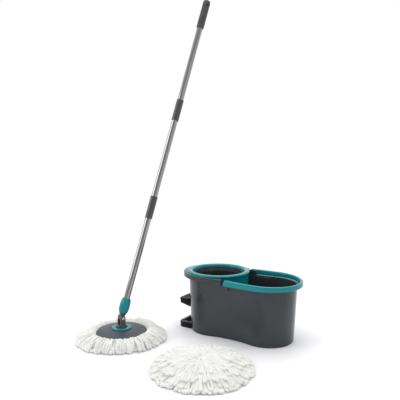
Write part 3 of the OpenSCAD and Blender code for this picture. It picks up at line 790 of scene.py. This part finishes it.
def spline(pts, n):
    """Smooth curve through a few (r, z) points."""
    P = np.asarray(pts, float)
    m = len(P)
    t = np.linspace(0, m - 1, n)
    out = []
    for v in t:
        i = min(int(v), m - 2)
        f = v - i
        p0, p1, p2, p3 = P[max(i - 1, 0)], P[i], P[i + 1], P[min(i + 2, m - 1)]
        out.append(0.5 * ((2 * p1) + (-p0 + p2) * f + (2 * p0 - 5 * p1 + 4 * p2 - p3) * f * f + (-p0 + 3 * p1 - 3 * p2 + p3) * f**3))
    return np.array(out)


def loop(cx, cy, phi, width, pa, pb, wig, amp):
    """A loop of yarn: out along pa, round the tip, back along pb."""
    A = leg(cx, cy, phi - width / 2, pa, wig, amp, rng.uniform(0, 6))
    B = leg(cx, cy, phi + width / 2, pb, wig, amp, rng.uniform(0, 6))
    tipdir = A[-1] - A[-3]
    tipdir /= np.linalg.norm(tipdir) + 1e-9
    mid = (A[-1] + B[-1]) / 2 + tipdir * 3.2
    return np.concatenate([A, mid[None], B[::-1]])


def mop_paths():
    out = []
    front = math.radians(-48)

    def layer(count, r0, z0, zr, peak, reach, tipz, jr, rr=88.0):
        for k in range(count):
            phi = 2 * math.pi * (k + rng.uniform(-0.3, 0.3)) / count
            d = (phi - front + math.pi) % (2 * math.pi) - math.pi
            near = math.exp(-((d / math.radians(62)) ** 2))
            d2 = (phi - math.radians(70) + math.pi) % (2 * math.pi) - math.pi
            pile = math.exp(-((d2 / math.radians(34)) ** 2))
            R = reach - (reach - 119) * 0.85 * near + rng.uniform(-jr, jr)
            legs = []
            for _ in range(2):
                p = peak + rng.uniform(-2.0, 2.2) + 7.0 * pile
                Rr = R + rng.uniform(-3, 3)
                a = rr + (Rr - rr) * (0.30 - 0.06 * near)
                b = rr + (Rr - rr) * (0.64 + 0.14 * near)
                za = p * (0.97 - 0.05 * near) + rng.uniform(-1.5, 1.5)
                zb = tipz + (p - tipz) * (0.62 + 0.02 * near) + rng.uniform(-2.5, 2.5)
                legs.append(spline([(r0, z0), (rr - 5.5, zr), (rr + 2.5, p), (a, za), (b, zb), (Rr, tipz + rng.uniform(0, 3))], 22))
            out.append(loop(MX, MY, phi, rng.uniform(4.2, 6.6) / R, legs[0], legs[1], rng.uniform(-16, 16), rng.uniform(0.5, 4.0)))

    layer(56, 76, 9.0, 9.5, 10.0, 147, 4.0, 5)
    layer(66, 76, 14.5, 17.0, 18.0, 148, 4.5, 5)
    layer(78, 77, 19.0, 24.0, 27.0, 148, 5.0, 6, 90.0)
    layer(84, 77, 20.5, 25.5, 34.0, 142, 8.0, 9, 91.0)
    return out


strands("mop_yarn", mop_paths(), "mop_head", ("mop_strands",), rad=3.0)
lathe("mop_bed", fillet([(60, 4), (60, 11), (77, 12.2), (86.5, 22), (96, 25), (108, 17), (112, 6), (100, 4)], 2.0), m_strand, "mop_head", 72, True, HEAD)

SXX, SYY = 121.1, -317.7


def spare_paths():
    out = []

    def layer(count, r0, r1, z0, zm, z1, jr, jz, w=7.0, curl=0.0, wig=12):
        for k in range(count):
            phi = 2 * math.pi * (k + rng.uniform(-0.45, 0.45)) / count
            legs = []
            a0 = r0 + rng.uniform(-jr, jr) * 0.7
            a1 = r1 + rng.uniform(-jr, jr)
            a1 = min(a1, 147.0)
            for _ in range(2):
                hz = rng.uniform(-jz, jz)
                legs.append(spline([(a0, z0 + hz * 0.3), (a0 + (a1 - a0) * 0.22, zm + hz), (a0 + (a1 - a0) * 0.5, zm + (z1 - zm) * 0.22 + hz),
                                    (a0 + (a1 - a0) * 0.8, zm + (z1 - zm) * 0.72 + hz * 0.4), (a1, z1 + curl + rng.uniform(0, 2.5))], 18))
            out.append(loop(SXX, SYY, phi, w / max(a1, 30), legs[0], legs[1], rng.uniform(-wig, wig), rng.uniform(0.5, 4.5)))

    layer(80, 92, 144, 8, 9, 4.0, 5, 1.5, w=5.5)
    layer(86, 84, 144, 16, 19, 4.5, 6, 2.5, w=5.5)
    layer(84, 66, 136, 24, 28, 9.0, 8, 3.0, w=5.5, curl=1.0)
    layer(68, 46, 116, 30, 34, 20.0, 10, 3.0, w=5.5, curl=2.0)
    layer(52, 24, 86, 33, 38, 29.0, 10, 2.5, w=5.5, curl=2.5)
    layer(26, 6, 54, 34, 40, 34.0, 8, 2.0, w=5.5, curl=2.0)
    return out


strands("spare_yarn", spare_paths(), "refill", ("spare_strands",), rad=3.0)
lathe("spare_bed", fillet([(0.001, 14), (0.001, 31), (50, 29), (90, 20), (118, 8), (118, 3.5), (90, 6), (76.5, 13.5)], [0, 0, 4, 4, 2, 2, 2, 1]), m_strand, "refill", 72, True,
      Matrix.Translation((SXX, SYY, 0)))

# ------------------------------------------------------------------ floor, light, world
fm, nt, b = new_mat("studio_floor")
b.inputs["Base Color"].default_value = (0.86, 0.86, 0.875, 1)
b.inputs["Roughness"].default_value = 0.55
b.inputs["Specular IOR Level"].default_value = 0.2
ftc = node(nt, "ShaderNodeTexCoord")
fsub = node(nt, "ShaderNodeVectorMath", operation="SUBTRACT")
fsub.inputs[1].default_value = (0.0, -0.13, 0.0)
flen = node(nt, "ShaderNodeVectorMath", operation="LENGTH")
fmr = node(nt, "ShaderNodeMapRange", interpolation_type="SMOOTHSTEP")
fmr.inputs["From Min"].default_value, fmr.inputs["From Max"].default_value = 0.45, 1.25
fem = node(nt, "ShaderNodeEmission")
fem.inputs["Color"].default_value = (1, 1, 1, 1)
fem.inputs["Strength"].default_value = 1.0
fmix = node(nt, "ShaderNodeMixShader")
nt.links.new(ftc.outputs["Object"], fsub.inputs[0])
nt.links.new(fsub.outputs["Vector"], flen.inputs[0])
nt.links.new(flen.outputs["Value"], fmr.inputs["Value"])
nt.links.new(fmr.outputs["Result"], fmix.inputs["Fac"])
nt.links.new(b.outputs["BSDF"], fmix.inputs[1])
nt.links.new(fem.outputs["Emission"], fmix.inputs[2])
fout = next(n for n in nt.nodes if n.type == "OUTPUT_MATERIAL")
nt.links.new(fmix.outputs["Shader"], fout.inputs["Surface"])
me = bpy.data.meshes.new("floor")
me.from_pydata([(-14, -14, -0.0005), (14, -14, -0.0005), (14, 14, -0.0005), (-14, 14, -0.0005)], [], [(0, 1, 2, 3)])
floor = bpy.data.objects.new("floor", me)
SC.collection.objects.link(floor)
use(floor, fm)


def area(name, loc, target, size, energy, col=(1, 1, 1)):
    d = bpy.data.lights.new(name, "AREA")
    d.shape = "RECTANGLE"
    d.size, d.size_y = size
    d.energy = energy
    d.color = col
    o = bpy.data.objects.new(name, d)
    SC.collection.objects.link(o)
    o.location = loc
    o.rotation_mode = "QUATERNION"
    o.rotation_quaternion = (Vector(target) - Vector(loc)).to_track_quat("-Z", "Y")
    return o


area("top", (0.2, 0.2, 2.6), (0, -0.1, 0.1), (2.6, 2.2), 38)
area("key_left", (-1.7, -1.9, 1.5), (0, -0.1, 0.2), (1.0, 1.8), 22)
area("strip_right", (2.0, -0.9, 1.1), (0.1, 0, 0.15), (0.5, 1.8), 2.5)

w = bpy.data.worlds.new("studio")
SC.world = w
w.use_nodes = True
nt = w.node_tree
bg = nt.nodes["Background"]
tc = nt.nodes.new("ShaderNodeTexCoord")
dot = nt.nodes.new("ShaderNodeVectorMath")
dot.operation = "DOT_PRODUCT"
dot.inputs[1].default_value = (0.518, -0.854, 0.0)
mr = nt.nodes.new("ShaderNodeMapRange")
mr.inputs["From Min"].default_value, mr.inputs["From Max"].default_value = -0.1, 0.9
mr.inputs["To Min"].default_value, mr.inputs["To Max"].default_value = 1.0, 0.45
nt.links.new(tc.outputs["Generated"], dot.inputs[0])
nt.links.new(dot.outputs["Value"], mr.inputs["Value"])
lp = nt.nodes.new("ShaderNodeLightPath")           # the backdrop itself is plain white on every side
mxm = nt.nodes.new("ShaderNodeMath")
mxm.operation = "MAXIMUM"
nt.links.new(lp.outputs["Is Camera Ray"], mxm.inputs[0])
nt.links.new(mr.outputs["Result"], mxm.inputs[1])
nt.links.new(mxm.outputs[0], bg.inputs["Strength"])
bg.inputs["Color"].default_value = (1, 1, 1, 1)
SC.view_settings.view_transform = "Standard"
SC.view_settings.look = "None"

for o in list(SC.objects):
    if o.type == "MESH" and o.get("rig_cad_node") and not o.hide_render:
        o.data.polygons.foreach_set("use_smooth", [True] * len(o.data.polygons))
        o.data.set_sharp_from_angle(angle=math.radians(32))
